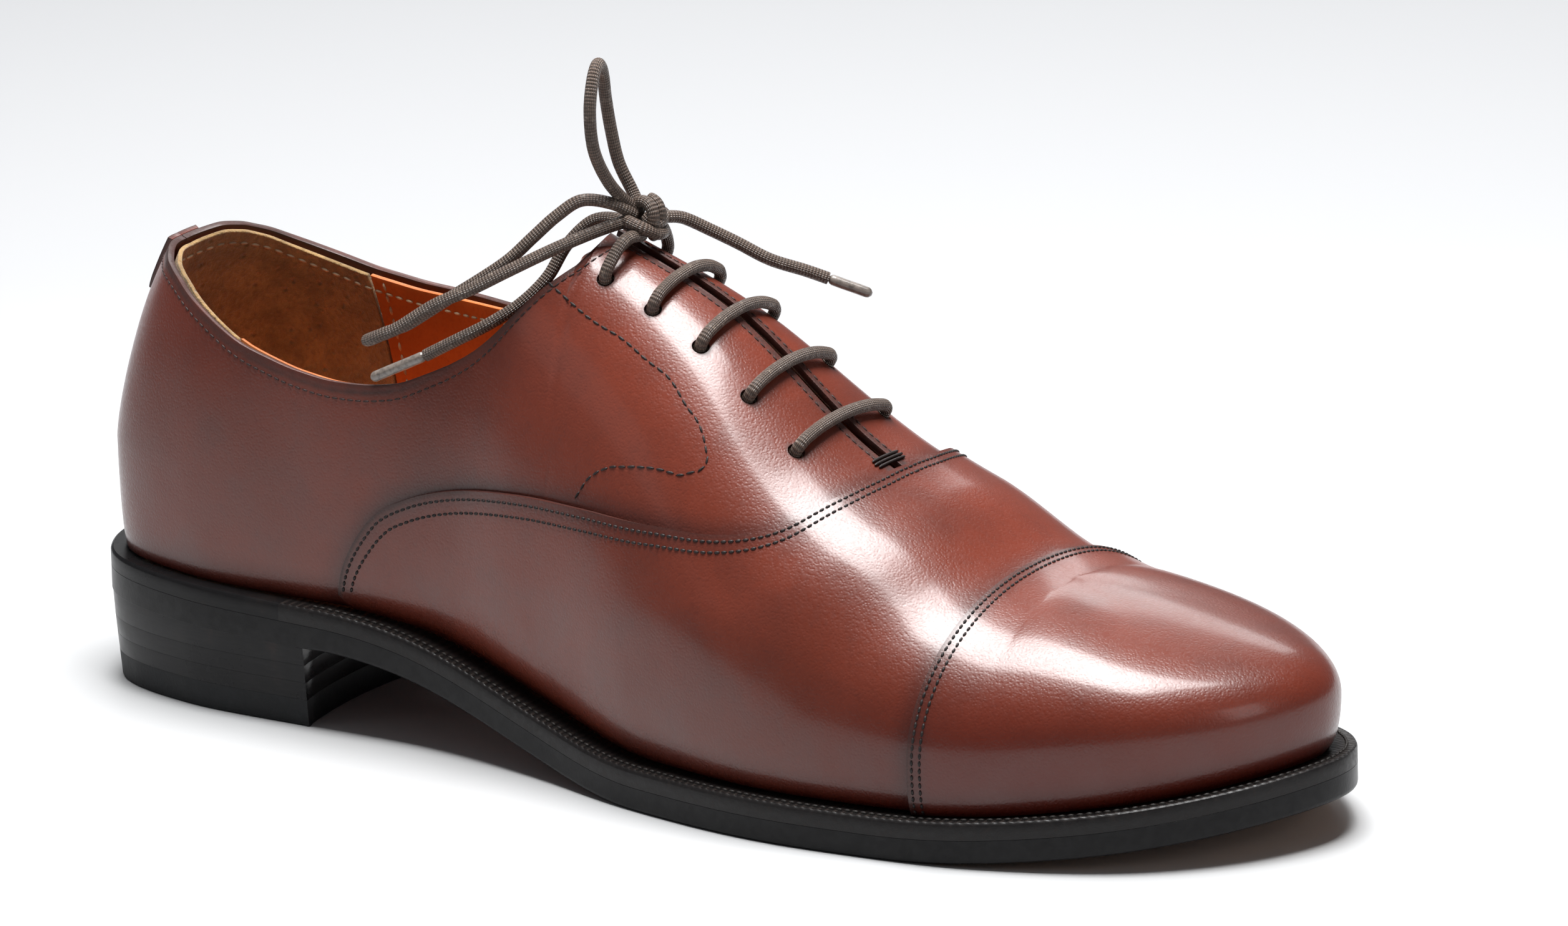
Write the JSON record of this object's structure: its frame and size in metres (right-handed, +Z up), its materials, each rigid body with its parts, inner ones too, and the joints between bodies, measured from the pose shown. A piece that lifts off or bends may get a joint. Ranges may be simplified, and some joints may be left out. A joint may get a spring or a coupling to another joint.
{
  "type": "leather oxford shoe",
  "caption": "Closed-lacing leather oxford with a plain toe cap, welted sole, stacked heel, lined open ankle and tied round lace.",
  "frame": {"origin": "floor level under the middle of the shoe's bounding box, measured without the free lace", "axes": "+X to the toe, -Y to the outer side of the right foot, +Z up"},
  "size_m": [0.302, 0.1044, 0.1496],
  "materials": {
    "upper": "burnished, semi-gloss",
    "black_sole_leather": "inked and waxed edge",
    "top_piece_rubber": "matte",
    "nail_brass": "worn",
    "shank_steel": "plain",
    "cork": "granular cork",
    "insole_leather": "raw, smooth side up",
    "smooth_lining": "smooth, soft sheen",
    "suede_lining": "napped suede",
    "stiffener": "pressed fibre board",
    "stay_cloth": "woven tape",
    "lace": "round waxed braid",
    "aglet": "clear film over braid"
  },
  "bodies": {
    "shoe": {"outsole": "black_sole_leather", "welt": "black_sole_leather", "heel_rand": "black_sole_leather", "heel_lift_upper": "black_sole_leather", "heel_lift_middle": "black_sole_leather", "heel_lift_lower": "black_sole_leather", "heel_top_piece": "top_piece_rubber", "heel_nails": "nail_brass", "shank": "shank_steel", "cork_filler": "cork", "insole": "insole_leather", "sock_liner": "smooth_lining", "toe_cap": "upper", "vamp": "upper", "quarter_outer": "upper", "quarter_inner": "upper", "back_tab": "upper", "facing_stay_outer": "stay_cloth", "facing_stay_inner": "stay_cloth", "heel_counter": "stiffener", "toe_puff": "stiffener", "vamp_lining": "smooth_lining", "quarter_lining_outer": "smooth_lining", "quarter_lining_inner": "smooth_lining", "heel_grip": "suede_lining", "lace_bars": "lace", "lace_top_strands": "lace", "lace_knot": "lace", "lace_loop_upright": "lace", "lace_loop_back": "lace", "lace_end_outer": "lace", "lace_end_front": "lace", "lace_tip_outer": "aglet", "lace_tip_front": "aglet"},
    "tongue": {"tongue": "upper"}
  },
  "joints": [
    {"name": "tongue_flex", "type": "hinge", "parent": "shoe", "child": "tongue", "pos_m": [0.0495, 0, 0.0618], "axis": [0, -1, 0], "range_deg": [0, 15], "stiffness_Nm_per_rad": 0.3}
  ]
}
